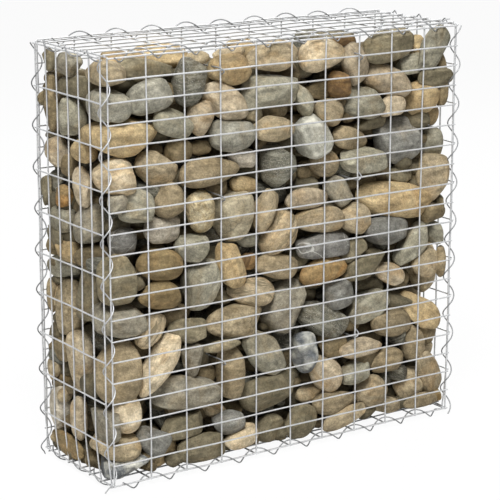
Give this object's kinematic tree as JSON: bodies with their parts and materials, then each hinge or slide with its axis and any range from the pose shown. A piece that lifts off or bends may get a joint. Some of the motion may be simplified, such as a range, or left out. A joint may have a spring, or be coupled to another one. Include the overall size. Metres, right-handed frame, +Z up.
{
  "type": "gabion wall unit",
  "caption": "Free-standing gabion wall unit: welded wire mesh panels laced at every edge with spiral coils, tied by spacers and filled with river cobbles.",
  "frame": {"origin": "middle of the footprint, on the ground plane under the long bottom coils", "axes": "+X along the wall's length, the front face looks along -Y, +Z up"},
  "size_m": [1.0472, 0.3494, 1.0371],
  "materials": {
    "mesh_wire": "bright zinc coating, satin",
    "lacing_wire": "bright zinc coating, satin",
    "spacer_wire": "zinc coating, slightly dull",
    "cobbles": "smooth river-worn stone in tan, grey and brown"
  },
  "bodies": {
    "root": {"back_bottom_coil": "lacing_wire", "back_left_corner_coil": "lacing_wire", "back_panel": "mesh_wire", "back_right_corner_coil": "lacing_wire", "back_top_coil": "lacing_wire", "base_panel": "mesh_wire", "front_bottom_coil": "lacing_wire", "front_left_corner_coil": "lacing_wire", "front_panel": "mesh_wire", "front_right_corner_coil": "lacing_wire", "front_top_coil": "lacing_wire", "left_bottom_coil": "lacing_wire", "left_end_panel": "mesh_wire", "left_top_coil": "lacing_wire", "lid_panel": "mesh_wire", "lower_spacer_1": "spacer_wire", "lower_spacer_2": "spacer_wire", "middle_spacer_1": "spacer_wire", "middle_spacer_2": "spacer_wire", "right_bottom_coil": "lacing_wire", "right_end_panel": "mesh_wire", "right_top_coil": "lacing_wire", "stone_lift_1": "cobbles", "stone_lift_2": "cobbles", "stone_lift_3": "cobbles", "stone_lift_4": "cobbles", "upper_spacer_1": "spacer_wire", "upper_spacer_2": "spacer_wire"}
  },
  "joints": []
}
